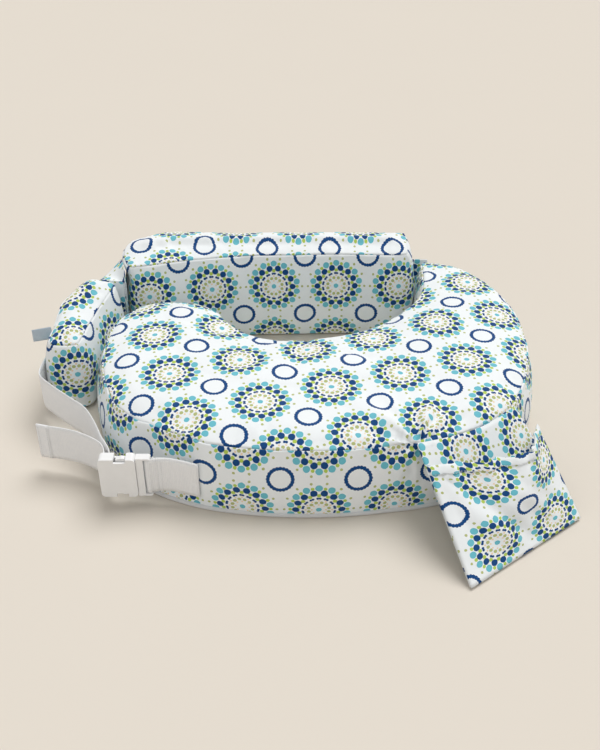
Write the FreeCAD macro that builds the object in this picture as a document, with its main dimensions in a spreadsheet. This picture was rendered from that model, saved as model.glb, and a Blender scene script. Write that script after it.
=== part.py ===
import FreeCAD, Part
import Sketcher
import math
import os

V = FreeCAD.Vector
NOMINAL_WIDTH = 573.0

doc = FreeCAD.newDocument("NursingPillow")
sheet = doc.addObject("Spreadsheet::Sheet", "Sizes")

SIZES = [
    ("platform_width", 573.0, "platform, side to side"),
    ("platform_height", 95.0, "platform, base to top seam"),
    ("back_height", 135.0, "backrest pad"),
    ("wing_height", 108.0, "folding wing of the backrest"),
    ("wing_lift", 4.0, "wing clear of the floor"),
    ("cloth", 1.5, "cover cloth with its lining"),
    ("web_width", 50.0, "strap webbing"),
    ("web_thick", 1.6, "strap webbing"),
    ("web_mid", 45.0, "strap centre line above the floor"),
    ("pocket_cloth", 2.0, "pocket cloth, hemmed"),
    ("pocket_bottom", 3.0, "bottom hem of the pocket"),
    ("pocket_front_top", 80.0, "elastic mouth of the pocket"),
    ("pocket_back_top", 93.0, "pocket back at the platform's top seam"),
    ("buckle_length", 43.0, "socket of the buckle"),
    ("buckle_width", 56.0, "buckle across the webbing"),
    ("buckle_thick", 14.0, "socket front to back"),
    ("buckle_wall", 3.0, "socket wall"),
    ("frame_length", 17.0, "plug half without its arms"),
    ("frame_thick", 10.0, "plug half front to back"),
    ("arm_thick", 6.0, "latch arm front to back"),
    ("bar_diameter", 4.0, "webbing bars"),
    ("zip_mid", 30.0, "zip above the floor"),
    ("zip_length", 250.0, "chain"),
    ("chain_width", 4.0, "chain"),
    ("tape_width", 10.0, "zip tape showing on each side"),
    ("tape_thick", 1.2, "zip tape"),
    ("slider_width", 10.0, "slider across the chain"),
    ("slider_length", 15.0, "slider along the chain"),
    ("plate_thick", 1.4, "slider plates"),
    ("pull_length", 24.0, "zip pull"),
    ("label_width", 24.0, "label tag"),
    ("label_height", 18.0, "label tag"),
]


def fill_sheet():
    for row, (alias, value, note) in enumerate(SIZES, start=1):
        sheet.set("A%d" % row, alias)
        sheet.set("B%d" % row, "%g" % value)
        sheet.set("C%d" % row, note)
        sheet.setAlias("B%d" % row, alias)
    doc.recompute()


fill_sheet()


def size(alias):
    return float(sheet.get(alias))


def bind(obj, prop, text):
    """Tie a property to the sheet; S. in the text stands for the sheet."""
    obj.setExpression(prop, text.replace("S.", "Sizes."))


# ---------------------------------------------------------------- outlines

SCALE = size("platform_width") / NOMINAL_WIDTH


def points(pairs):
    return [V(x * SCALE, y * SCALE, 0) for x, y in pairs]


def bows(pairs):
    """Arcs, each through three points in turn; the ends are shared."""
    row = points(pairs)
    return [Part.Arc(row[i], row[i + 1], row[i + 2]) for i in range(0, len(row) - 2, 2)]


def line(a, b):
    first, last = points([a, b])
    return Part.LineSegment(first, last)


def outline(name, curves):
    sketch = doc.addObject("Sketcher::SketchObject", name)
    for curve in curves:
        sketch.addGeometry(curve, False)
    return sketch


def inset(name, source, distance):
    """The outline moved inwards by the distance."""
    offset = doc.addObject("Part::Offset2D", name)
    offset.Source = source
    offset.Join = "Intersection"
    bind(offset, "Value", "-(%s)" % distance)
    return offset


def ribbon(name, pairs, thickness):
    """A closed outline along a row of points, as thick as asked on its left side."""
    near = points(pairs)
    far = []
    for i, point in enumerate(near):
        along = near[min(i + 1, len(near) - 1)] - near[max(i - 1, 0)]
        along.normalize()
        far.append(point + V(-along.y, along.x, 0) * thickness)
    curves = []
    for row in (near, far):
        curves += [Part.Arc(row[i], row[i + 1], row[i + 2]) for i in range(0, len(row) - 2, 2)]
    curves.append(Part.LineSegment(near[0], far[0]))
    curves.append(Part.LineSegment(near[-1], far[-1]))
    return outline(name, curves)


def ply(name, a, b, thickness):
    """A straight closed outline from a to b, as thick as asked on its left side."""
    along = V(b[0] - a[0], b[1] - a[1], 0)
    along.normalize()
    side = (-along.y * thickness, along.x * thickness)
    far_a = (a[0] + side[0], a[1] + side[1])
    far_b = (b[0] + side[0], b[1] + side[1])
    return outline(name, [line(a, b), line(b, far_b), line(far_b, far_a), line(far_a, a)])


def extrude(label, source, height, bottom):
    solid = doc.addObject("Part::Extrusion", label)
    solid.Label = label
    solid.Base = source
    solid.DirMode = "Custom"
    solid.Dir = V(0, 0, 1)
    solid.Solid = True
    bind(solid, "LengthFwd", height)
    bind(solid, "Placement.Base.z", bottom)
    return solid


def box(name, corner, sizes):
    """A box; each corner coordinate and size is a number or a sheet expression."""
    block = doc.addObject("Part::Box", name)
    for axis, value in zip("xyz", corner):
        bind(block, "Placement.Base." + axis, str(value))
    for prop, value in zip(("Length", "Width", "Height"), sizes):
        bind(block, prop, str(value))
    return block


def zone(name, corners):
    """A tall block with the corners given, used to part a wall in two."""
    sides = [line(corners[i], corners[(i + 1) % len(corners)]) for i in range(len(corners))]
    return extrude(name, outline(name + "Outline", sides), "400", "-100")


def common(label, base, tool):
    result = doc.addObject("Part::Common", label)
    result.Label = label
    result.Base = base
    result.Tool = tool
    return result


def cut(label, base, tool):
    result = doc.addObject("Part::Cut", label)
    result.Label = label
    result.Base = base
    result.Tool = tool
    return result


HANDED_IN = []


def hand_in(obj, label):
    obj.Label = label
    HANDED_IN.append((label, obj))
    return obj


# ---------------------------------------------------------------- platform

OUTER_WALL = [
    (176, 303), (222, 294), (257, 268), (298, 198), (311, 97), (297, 0), (262, -74),
    (200, -119), (110, -145), (0, -155), (-100, -144), (-180, -110), (-236, -60),
    (-261, 20), (-263, 105), (-236, 165), (-178, 190),
]
WAIST_WALL = [
    (-178, 190), (-125, 168), (-90, 122), (-50, 90), (10, 86), (75, 104), (130, 146),
    (160, 190), (171, 240),
]
ARM_END = (171.5, 303)
WAIST_ZONE = [(-178, 230), (-178, 150), (-120, 110), (-60, 50), (60, 50), (174, 130), (174, 330)]


def build_platform():
    outer = bows(OUTER_WALL)
    waist = bows(WAIST_WALL)
    closing = [line(WAIST_WALL[-1], ARM_END), line(ARM_END, OUTER_WALL[0])]
    full = outline("PlatformOutline", outer + waist + closing)
    core = inset("PlatformCore", full, "S.cloth")
    wall = "S.platform_height - 2 * S.cloth"
    hand_in(extrude("platform_foam", core, wall, "S.cloth"), "platform_foam")
    hand_in(extrude("base_panel", full, "S.cloth", "0"), "base_panel")
    hand_in(
        extrude("top_panel", full, "S.cloth", "S.platform_height - S.cloth"), "top_panel"
    )
    ring = cut(
        "PlatformWall",
        extrude("PlatformWallOuter", full, wall, "S.cloth"),
        extrude("PlatformWallInner", core, wall + " + 10", "S.cloth - 5"),
    )
    waist_side = zone("WaistSide", WAIST_ZONE)
    hand_in(cut("outer_side_band", ring, waist_side), "outer_side_band")
    hand_in(common("waist_side_band", ring, waist_side), "waist_side_band")


# ---------------------------------------------------------------- backrest pad

BACK_INNER = [(162, 234), (78, 238), (-10, 236), (-130, 227), (-236, 198)]
BACK_CORNER = [(-254, 252), (-226, 290), (-150, 302)]
BACK_REAR_END = (162, 302)
ZIP_START = -136.0
ZIP_FACE = 302.0


def build_back():
    inner = bows(BACK_INNER)
    corner = bows(BACK_CORNER)
    rear = line(BACK_CORNER[-1], BACK_REAR_END)
    end_left = line(BACK_INNER[-1], BACK_CORNER[0])
    end_right = line(BACK_REAR_END, BACK_INNER[0])
    full = outline("BackOutline", inner + [end_left] + corner + [rear, end_right])
    core = inset("BackCore", full, "S.cloth")
    wall = "S.back_height - 2 * S.cloth"
    foam = extrude("BackFoamBlank", core, wall, "S.cloth")
    groove = box(
        "ZipGroove",
        (ZIP_START, ZIP_FACE - 5.5, "S.zip_mid - 0.8 * S.slider_width"),
        ("S.zip_length + 20", 8, "1.6 * S.slider_width"),
    )
    hand_in(cut("back_foam", foam, groove), "back_foam")
    hand_in(extrude("back_bottom_panel", full, "S.cloth", "0"), "back_bottom_panel")
    hand_in(
        extrude("back_top_panel", full, "S.cloth", "S.back_height - S.cloth"), "back_top_panel"
    )
    ring = cut(
        "BackWall",
        extrude("BackWallOuter", full, wall, "S.cloth"),
        extrude("BackWallInner", core, wall + " + 10", "S.cloth - 5"),
    )
    front_side = zone("BackFrontSide", [(-280, 180), (200, 180), (200, 270), (-280, 270)])
    hand_in(common("back_inner_panel", ring, front_side), "back_inner_panel")
    rear_blank = cut("BackRearBlank", ring, front_side)
    slot = box(
        "ZipSlot",
        (ZIP_START, ZIP_FACE - 4, "S.zip_mid - S.tape_width - 0.5 * S.chain_width - 0.2"),
        ("S.zip_length + 20", 8, "2 * S.tape_width + S.chain_width + 0.4"),
    )
    hand_in(cut("back_rear_panel", rear_blank, slot), "back_rear_panel")


# ---------------------------------------------------------------- folding wing

WING_INNER = [(-243, 190), (-266, 124), (-279, 52)]
WING_OUTER = [(-334, 52), (-325, 130), (-288, 204)]


def build_wing():
    inner = bows(WING_INNER)
    outer = bows(WING_OUTER)
    front = line(WING_INNER[-1], WING_OUTER[0])
    crease = line(WING_OUTER[-1], WING_INNER[0])
    full = outline("WingOutline", inner + [front] + outer + [crease])
    core = inset("WingCore", full, "S.cloth")
    wall = "S.wing_height - 2 * S.cloth"
    floor = "S.wing_lift"
    hand_in(extrude("wing_foam", core, wall, floor + " + S.cloth"), "wing_foam")
    hand_in(extrude("wing_bottom_panel", full, "S.cloth", floor), "wing_bottom_panel")
    hand_in(
        extrude("wing_top_panel", full, "S.cloth", floor + " + S.wing_height - S.cloth"),
        "wing_top_panel",
    )
    ring = cut(
        "WingWall",
        extrude("WingWallOuter", full, wall, floor + " + S.cloth"),
        extrude("WingWallInner", core, wall + " + 10", floor + " + S.cloth - 5"),
    )
    waist_side = zone("WingWaistSide", [(-305, 30), (-200, 30), (-200, 230), (-268, 230)])
    hand_in(common("wing_inner_panel", ring, waist_side), "wing_inner_panel")
    hand_in(cut("wing_outer_panel", ring, waist_side), "wing_outer_panel")


# ---------------------------------------------------------------- cloth hinges


def build_hinges():
    crease = ply("CreaseWebLine", (-294, 206), (-258, 256), size("cloth"))
    hand_in(
        extrude("crease_web", crease, "S.wing_height - 14", "S.wing_lift + 7"), "crease_web"
    )
    rear = ply("RearWebLine", (148, 304), (190, 305), size("cloth"))
    hand_in(extrude("rear_web", rear, "S.platform_height - 10", "5"), "rear_web")


# ---------------------------------------------------------------- straps

BUCKLE_X = -211.5
BUCKLE_Y = -131.0
BAR_X = -224.0
BAR_Y = -129.0
LOAD_STRAND = [
    (-338.5, 66), (-337, 38), (-320, 17), (-291, -10), (-267, -32), (-250, -60),
    (-236, -90), (-224.5, -111), (-220.2, -129),
]
TAIL_STRAND = [(-227.8, -129), (-230, -112), (-241, -97), (-272, -79), (-318, -67)]
FRONT_PULL = [(-168, -129.4), (-152, -130.4), (-137, -134.4), (-128, -137.6), (-119, -141)]


def build_straps():
    low = "S.web_mid - 0.5 * S.web_width"
    loop = []
    for step in range(1, 8):
        turn = math.pi * step / 8
        loop.append((BAR_X + 3.8 * math.cos(turn), BAR_Y - 3.8 * math.sin(turn)))
    path = LOAD_STRAND + loop + TAIL_STRAND
    web = ribbon("WaistStrapLine", path, size("web_thick"))
    hand_in(extrude("waist_strap", web, "S.web_width", low), "waist_strap")
    hand_in(build_front_strap(low), "front_strap")


def build_front_strap(low):
    """Two plies sewn together, parted to pass round the bar of the plug half."""
    bar_x = BUCKLE_X + 35.0
    two_plies = ribbon("FrontStrapLine", FRONT_PULL[::-1], size("web_thick") * 2)
    sewn = extrude("FrontStrapSewn", two_plies, "S.web_width", low)
    ring = doc.addObject("Part::Cylinder", "FrontStrapRound")
    bind(ring, "Radius", "0.5 * S.bar_diameter + 0.5 + S.web_thick")
    bind(ring, "Height", "S.web_width")
    hole = doc.addObject("Part::Cylinder", "FrontStrapHole")
    bind(hole, "Radius", "0.5 * S.bar_diameter + 0.5")
    bind(hole, "Height", "S.web_width")
    for part in (ring, hole):
        part.Placement.Base = V(bar_x, BUCKLE_Y, 0)
        bind(part, "Placement.Base.z", low)
    joined = doc.addObject("Part::Fuse", "FrontStrapJoined")
    joined.Base = ring
    joined.Tool = bridge_piece(bar_x, low)
    whole = doc.addObject("Part::Fuse", "FrontStrapWhole")
    whole.Base = joined
    whole.Tool = sewn
    return cut("front_strap", whole, hole)


def bridge_piece(bar_x, low):
    reach = abs(FRONT_PULL[0][0] - bar_x)
    return box(
        "FrontStrapBridge",
        (bar_x + 1.5, BUCKLE_Y - 1.6, low),
        (reach, "2 * S.web_thick", "S.web_width"),
    )


# ---------------------------------------------------------------- pocket

SEAM_LINE = [(132, -144), (170, -133), (208, -117), (242, -96), (268.5, -72)]
MOUTH_LINE = [(141, -164), (178, -160), (222, -154), (260, -139), (279.3, -88.5)]
HEM_LINE = [(184, -266), (208, -247.7), (256, -211), (302, -176), (327, -157)]


def section(name, centre, height, sideways):
    """A thin closed outline along a line, lying flat at a height."""
    thick = size("pocket_cloth")
    across = V(*sideways, 0)
    across.normalize()
    near = points(centre)
    far = [p + across * thick for p in near]
    curves = []
    for row in (near, far):
        curve = Part.BSplineCurve()
        curve.interpolate(Points=row)
        curves.append(curve)
    curves.append(Part.LineSegment(near[0], far[0]))
    curves.append(Part.LineSegment(near[-1], far[-1]))
    sketch = outline(name, curves)
    bind(sketch, "Placement.Base.z", height)
    return sketch


def panel(label, top, bottom):
    loft = doc.addObject("Part::Loft", label)
    loft.Sections = [bottom, top]
    loft.Solid = True
    loft.Ruled = True
    return hand_in(loft, label)


def shifted(pairs, dx, dy):
    return [(x + dx, y + dy) for x, y in pairs]


def build_pocket():
    out = (0.53, -0.85)
    back_top = section("PocketBackTop", SEAM_LINE, "S.pocket_back_top", out)
    back_low = section("PocketBackLow", HEM_LINE, "S.pocket_bottom", out)
    panel("pocket_back_panel", back_top, back_low)
    front_top = section("PocketFrontTop", MOUTH_LINE, "S.pocket_front_top", out)
    hem = shifted(HEM_LINE, 1.3, -2.0)
    front_low = section("PocketFrontLow", hem, "S.pocket_bottom", out)
    panel("pocket_front_panel", front_top, front_low)
    lower = section("ElasticLow", MOUTH_LINE, "S.pocket_front_top + 0.05", out)
    upper = section("ElasticTop", shifted(MOUTH_LINE, -0.9, 1.0), "S.pocket_front_top + 8", out)
    panel("pocket_elastic_hem", upper, lower)


# ---------------------------------------------------------------- buckle and zip


def new_body(name, base):
    body = doc.addObject("PartDesign::Body", name)
    body.Placement.Base = V(*base)
    return body


def sketch_on(body, name, role):
    sketch = body.newObject("Sketcher::SketchObject", name)
    plane = [f for f in body.Origin.OriginFeatures if f.Role == role][0]
    sketch.AttachmentSupport = [(plane, "")]
    sketch.MapMode = "FlatFace"
    return sketch


def draw_rectangle(sketch, x0, y0, x1, y1):
    corners = [V(x0, y0, 0), V(x1, y0, 0), V(x1, y1, 0), V(x0, y1, 0)]
    draw_polygon(sketch, corners)


def draw_polygon(sketch, corners):
    for i, start in enumerate(corners):
        sketch.addGeometry(Part.LineSegment(start, corners[(i + 1) % len(corners)]), False)


def draw_circle(sketch, x, y, radius):
    sketch.addGeometry(Part.Circle(V(x, y, 0), V(0, 0, 1), radius), False)


def pad(body, name, sketch, thickness):
    feature = body.newObject("PartDesign::Pad", name)
    feature.Profile = sketch
    feature.SideType = "Symmetric"
    bind(feature, "Length", thickness)
    return feature


def pocket(body, name, sketch, depth):
    feature = body.newObject("PartDesign::Pocket", name)
    feature.Profile = sketch
    feature.SideType = "Symmetric"
    bind(feature, "Length", depth)
    return feature


def round_edges(body, name, base, radius, choose):
    doc.recompute()
    edges = [
        "Edge%d" % (i + 1) for i, edge in enumerate(base.Shape.Edges) if choose(edge)
    ]
    fillet = body.newObject("PartDesign::Fillet", name)
    fillet.Base = (base, edges)
    fillet.Radius = radius
    return fillet


def runs_along_y(edge):
    ends = [v.Point for v in edge.Vertexes]
    return len(ends) == 2 and abs(ends[0].x - ends[1].x) < 0.01 and abs(ends[0].z - ends[1].z) < 0.01


def build_socket():
    half_l = size("buckle_length") / 2
    half_w = size("buckle_width") / 2
    wall = size("buckle_wall")
    body = new_body("SocketBody", (BUCKLE_X, BUCKLE_Y, size("web_mid")))
    face = sketch_on(body, "SocketFace", "XZ_Plane")
    draw_rectangle(face, -half_l, -half_w, half_l, half_w)
    block = pad(body, "SocketBlock", face, "S.buckle_thick")
    round_edges(body, "SocketCorners", block, 5.0, runs_along_y)
    mouth = sketch_on(body, "SocketMouth", "XY_Plane")
    draw_rectangle(mouth, -half_l + 17, -4, half_l + 2, 4)
    pocket(body, "SocketCavity", mouth, "S.buckle_width - 2 * (S.buckle_wall + 1)")
    window = sketch_on(body, "SocketWindow", "XZ_Plane")
    draw_rectangle(window, -half_l + 18, half_w - wall - 2, -half_l + 32, half_w + 2)
    draw_rectangle(window, -half_l + 18, -half_w - 2, -half_l + 32, -half_w + wall + 2)
    pocket(body, "SocketWindows", window, "S.buckle_thick + 2")
    bar = sketch_on(body, "SocketBar", "XY_Plane")
    centre = (BAR_X - BUCKLE_X, BAR_Y - BUCKLE_Y)
    draw_rectangle(bar, centre[0] - 5.4, centre[1] - 5.4, centre[0] + 5.4, centre[1] + 8)
    draw_circle(bar, centre[0], centre[1], size("bar_diameter") / 2)
    pocket(body, "SocketBarSlot", bar, "S.web_width + 1.6")
    return hand_in(body, "buckle_socket")


PIVOT_X = 24.5
PIVOT_Z = 15.0


def build_plug():
    half_l = size("buckle_length") / 2
    half_w = size("buckle_width") / 2
    start = half_l + 0.4
    end = start + size("frame_length")
    body = new_body("PlugBody", (BUCKLE_X, BUCKLE_Y, size("web_mid")))
    face = sketch_on(body, "PlugFace", "XZ_Plane")
    draw_rectangle(face, start, -half_w, end, half_w)
    block = pad(body, "PlugBlock", face, "S.frame_thick")
    round_edges(
        body, "PlugCorners", block, 3.0, lambda e: runs_along_y(e) and e.Vertexes[0].X > start + 1
    )
    slot = sketch_on(body, "PlugSlot", "XY_Plane")
    draw_rectangle(slot, 30.2, -7, end + 2, 7)
    draw_circle(slot, 35.0, 0, size("bar_diameter") / 2)
    pocket(body, "PlugWebSlot", slot, "S.web_width + 1.6")
    seats = sketch_on(body, "PlugSeats", "XZ_Plane")
    for side in (-1, 1):
        draw_rectangle(
            seats, start - 1, side * PIVOT_Z - 3.2, PIVOT_X + 2.8, side * PIVOT_Z + 3.2
        )
    pocket(body, "PlugArmSeats", seats, "S.arm_thick + 0.6")
    return hand_in(body, "buckle_plug_frame")


def build_arm(label, side):
    """A springy arm with a catch head that shows in the socket's side window."""
    body = new_body(label + "_body", (BUCKLE_X, BUCKLE_Y, size("web_mid")))
    face = sketch_on(body, label + "_face", "XZ_Plane")
    outline_points = [
        (PIVOT_X + 1.6, PIVOT_Z - 1.6), (PIVOT_X + 1.6, PIVOT_Z + 1.6), (10.6, 19.2),
        (9.4, 19.8), (9.4, 26.6), (5.5, 27.4), (-1.2, 25.4), (-2.4, 20.0), (-1.2, 16.4),
        (10.0, 15.6),
    ]
    corners = [V(x, side * z, 0) for x, z in outline_points]
    draw_polygon(face, corners)
    block = pad(body, label + "_block", face, "S.arm_thick")
    round_edges(body, label + "_soft", block, 0.6, runs_along_y)
    return hand_in(body, label)


SLIDER_X = 120.0


def build_zip():
    low_tape = "S.zip_mid - 0.5 * S.chain_width - S.tape_width"
    high_tape = "S.zip_mid + 0.5 * S.chain_width"
    for label, bottom in (("zip_tape_lower", low_tape), ("zip_tape_upper", high_tape)):
        tape = box(
            label,
            (ZIP_START + 2, "%g - S.tape_thick - 0.2" % ZIP_FACE, bottom),
            ("S.zip_length + 16", "S.tape_thick", "S.tape_width"),
        )
        hand_in(tape, label)
    chain = box(
        "zip_chain",
        (ZIP_START + 4, ZIP_FACE - 1.9, "S.zip_mid - 0.5 * S.chain_width + 0.2"),
        ("S.zip_length - 1", 2.2, "S.chain_width - 0.4"),
    )
    hand_in(chain, "zip_chain")
    build_slider()
    build_pull()


def build_slider():
    """Two plates joined by a neck ahead of the chain, with an arch for the pull."""
    half_l = size("slider_length") / 2
    body = new_body("SliderBody", (SLIDER_X, ZIP_FACE - 0.7, size("zip_mid")))
    side = sketch_on(body, "SliderSide", "XY_Plane")
    draw_rectangle(side, -half_l, -2.9, half_l, 2.9)
    block = pad(body, "SliderBlock", side, "S.slider_width")
    round_edges(body, "SliderNose", block, 3.0, runs_along_y)
    throat = sketch_on(body, "SliderThroat", "XY_Plane")
    draw_rectangle(throat, -half_l - 1, -1.5, half_l - 5.0, 1.5)
    pocket(body, "SliderChannel", throat, "S.slider_width + 2")
    sides = sketch_on(body, "SliderNeckSides", "XZ_Plane")
    draw_rectangle(sides, half_l - 5.1, 1.8, half_l + 1, 7)
    draw_rectangle(sides, half_l - 5.1, -7, half_l + 1, -1.8)
    pocket(body, "SliderNeck", sides, "3")
    arch = sketch_on(body, "SliderArchSide", "XY_Plane")
    draw_rectangle(arch, -4.8, 2.8, 4.8, 7.5)
    pad(body, "SliderArch", arch, "3")
    under = sketch_on(body, "SliderArchUnder", "XY_Plane")
    draw_rectangle(under, -3.5, 2.9, 3.5, 6.2)
    pocket(body, "SliderArchGap", under, "4")
    return hand_in(body, "zip_slider")


def build_pull():
    length = size("pull_length")
    body = new_body("PullBody", (SLIDER_X, ZIP_FACE + 3.9, size("zip_mid")))
    face = sketch_on(body, "PullFace", "XZ_Plane")
    draw_rectangle(face, -length, -3.6, 0.7, 3.6)
    draw_rectangle(face, -6.2, -2.1, -0.7, 2.1)
    block = pad(body, "PullPlate", face, "1.4")
    round_edges(
        body, "PullTip", block, 2.0, lambda e: runs_along_y(e) and e.Vertexes[0].X < 1 - length
    )
    return hand_in(body, "zip_pull")


def build_label():
    face = ply("LabelLine", (-353, 88), (-332.8, 95.5), 0.6)
    hand_in(
        extrude("label_tag", face, "S.label_height", "S.wing_height - S.label_height - 4"),
        "label_tag",
    )


def check_and_export():
    doc.recompute()
    os.makedirs("parts", exist_ok=True)
    for obj in doc.Objects:
        bad = [s for s in obj.State if s in ("Invalid", "Error")]
        if bad:
            raise RuntimeError("%s (%s) is %s" % (obj.Name, obj.Label, bad))
    for label, obj in HANDED_IN:
        shape = obj.Shape
        if shape.isNull() or not shape.isValid() or not shape.Solids:
            raise RuntimeError("%s has no sound solid" % label)
        shape.exportStep(os.path.join("parts", label + ".step"))
        bounds = shape.BoundBox
        print(
            "%-22s %2d solid %10.0f mm3  x %.1f..%.1f y %.1f..%.1f z %.1f..%.1f"
            % (
                label, len(shape.Solids), shape.Volume, bounds.XMin, bounds.XMax,
                bounds.YMin, bounds.YMax, bounds.ZMin, bounds.ZMax,
            )
        )


build_platform()
build_back()
build_wing()
build_hinges()
build_straps()
build_pocket()
build_socket()
build_plug()
build_arm("latch_arm_upper", 1)
build_arm("latch_arm_lower", -1)
build_zip()
build_label()
check_and_export()
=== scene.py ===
import math

import bmesh
import bpy
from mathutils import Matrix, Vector, geometry, kdtree, noise


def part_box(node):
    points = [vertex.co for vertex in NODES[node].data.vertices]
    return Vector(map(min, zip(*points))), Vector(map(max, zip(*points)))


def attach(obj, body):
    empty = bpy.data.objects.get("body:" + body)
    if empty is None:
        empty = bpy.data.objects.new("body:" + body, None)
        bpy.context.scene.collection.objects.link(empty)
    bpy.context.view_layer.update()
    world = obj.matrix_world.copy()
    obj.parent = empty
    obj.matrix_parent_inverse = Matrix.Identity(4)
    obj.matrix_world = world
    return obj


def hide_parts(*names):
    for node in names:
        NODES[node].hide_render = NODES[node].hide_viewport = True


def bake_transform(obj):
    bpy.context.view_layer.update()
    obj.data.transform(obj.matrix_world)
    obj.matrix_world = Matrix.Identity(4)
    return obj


bl_info = {
    "name": "Nursing Pillow Builder",
    "version": (1, 0, 0),
    "blender": (4, 5, 0),
    "location": "View3D > Sidebar > Pillow",
    "description": "Builds the cover, straps, pocket and fittings of a nursing pillow on its frame",
    "category": "Object",
}

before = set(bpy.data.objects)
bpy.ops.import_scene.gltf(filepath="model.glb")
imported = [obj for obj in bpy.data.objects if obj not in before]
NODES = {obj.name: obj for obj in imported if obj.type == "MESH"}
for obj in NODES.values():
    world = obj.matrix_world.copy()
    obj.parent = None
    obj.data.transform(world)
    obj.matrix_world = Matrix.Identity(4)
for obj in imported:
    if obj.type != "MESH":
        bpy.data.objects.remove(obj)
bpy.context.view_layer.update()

COTTON_WHITE = (0.86, 0.87, 0.88)
BASE_RISE = 0.0022  # where the printed side band starts above the underside
SEAM_GROOVE = 0.0024
SEAM_LIP = 0.0008  # rise and inset of the cloth just inside a top seam
LIP_INSET = 0.0018
ZIP_FACE = 0.2998  # the rear face stays behind this along the zip
STITCH_MARGIN = 0.002
LOOP_TURN = 0.0038
EYE_TURN = 0.0036
POCKET_CLOTH = 0.0011
SIM_FRAMES = 20
FLOOR_HALF = 25
CAMERA_LENS = 47.5
CAMERA_PLACE = (0.0, -1.004, 0.811)
CAMERA_TILT = math.radians(54.5)


# ------------------------------------------------------------------ user sizes


class PillowPrintSettings(bpy.types.PropertyGroup):
    """The dotted print of the cover."""

    repeat: bpy.props.FloatProperty(
        name="Repeat", description="Distance between medallions", default=0.0895,
        unit="LENGTH", min=0.02,
    )
    turn: bpy.props.FloatProperty(
        name="Turn on the top panel", description="How far the cloth was turned when cut",
        default=math.radians(18.3), subtype="ANGLE",
    )
    ground: bpy.props.FloatVectorProperty(
        name="Ground", description="Cloth under the print", default=(0.93, 0.965, 0.98),
        subtype="COLOR", size=3,
    )
    navy: bpy.props.FloatVectorProperty(
        name="Navy", description="Large dots and bead rings", default=(0.0, 0.060, 0.225),
        subtype="COLOR", size=3,
    )
    aqua: bpy.props.FloatVectorProperty(
        name="Aqua", description="Outer dots", default=(0.16, 0.55, 0.66),
        subtype="COLOR", size=3,
    )
    lime: bpy.props.FloatVectorProperty(
        name="Lime", description="Dots between the navy ones", default=(0.50, 0.66, 0.11),
        subtype="COLOR", size=3,
    )
    olive: bpy.props.FloatVectorProperty(
        name="Olive", description="Small dots", default=(0.50, 0.54, 0.22),
        subtype="COLOR", size=3,
    )
    peach: bpy.props.FloatVectorProperty(
        name="Peach", description="Faint dots", default=(0.93, 0.73, 0.50),
        subtype="COLOR", size=3,
    )


class PillowShapeSettings(bpy.types.PropertyGroup):
    """The padded forms."""

    crown: bpy.props.FloatProperty(
        name="Crown", description="Rise of the top panels in their middle", default=0.006,
        unit="LENGTH", min=0,
    )
    bulge: bpy.props.FloatProperty(
        name="Bulge", description="How far the side bands swell", default=0.002,
        unit="LENGTH", min=0,
    )
    seam_inset: bpy.props.FloatProperty(
        name="Seam inset", description="Top seam inside the widest outline", default=0.009,
        unit="LENGTH", min=0,
    )
    spacing: bpy.props.FloatProperty(
        name="Mesh spacing", description="Distance between points of the cloth", default=0.008,
        unit="LENGTH", min=0.002,
    )


class PillowStageSettings(bpy.types.PropertyGroup):
    """Floor, light and camera."""

    floor: bpy.props.FloatVectorProperty(
        name="Floor", description="Floor colour", default=(0.735, 0.675, 0.595),
        subtype="COLOR", size=3,
    )
    key_power: bpy.props.FloatProperty(
        name="Key light", description="Soft light from above", default=2.05, min=0
    )
    fill_power: bpy.props.FloatProperty(
        name="Fill light", description="Soft light from the front", default=0.30, min=0
    )
    sky: bpy.props.FloatProperty(
        name="Surround", description="Strength of the white surround", default=0.44, min=0
    )


# ------------------------------------------------------------------ small helpers


def shape():
    return bpy.context.scene.pillow_shape


def smooth(low, high, x):
    t = min(max((x - low) / (high - low), 0.0), 1.0)
    return t * t * (3 - 2 * t)


def make_object(name, mesh, materials):
    obj = bpy.data.objects.new(name, mesh)
    bpy.context.scene.collection.objects.link(obj)
    for material in materials:
        mesh.materials.append(material)
    return obj


def shade_smooth(mesh):
    mesh.polygons.foreach_set("use_smooth", [True] * len(mesh.polygons))


def mesh_object(name, bm, materials, turn_out=True):
    """Ends a bmesh as a smooth object of its own."""
    if turn_out:
        bmesh.ops.recalc_face_normals(bm, faces=bm.faces)
    mesh = bpy.data.meshes.new(name)
    bm.to_mesh(mesh)
    bm.free()
    obj = make_object(name, mesh, materials)
    shade_smooth(mesh)
    return obj


def tube(bm, rings):
    """Joins rings of points into a tube with closed ends."""
    size = len(rings[0])
    for one, two in zip(rings, rings[1:]):
        for k in range(size):
            m = (k + 1) % size
            bm.faces.new((one[k], one[m], two[m], two[k]))
    bm.faces.new(rings[0][::-1])
    bm.faces.new(rings[-1])


def apply_modifier(obj, modifier):
    depsgraph = bpy.context.evaluated_depsgraph_get()
    baked = bpy.data.meshes.new_from_object(obj.evaluated_get(depsgraph), depsgraph=depsgraph)
    obj.modifiers.remove(modifier)
    old = obj.data
    obj.data = baked
    bpy.data.meshes.remove(old)


def subdivide(obj):
    modifier = obj.modifiers.new("Smooth", "SUBSURF")
    modifier.levels = 1
    modifier.uv_smooth = "NONE"
    apply_modifier(obj, modifier)
    shade_smooth(obj.data)


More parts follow.
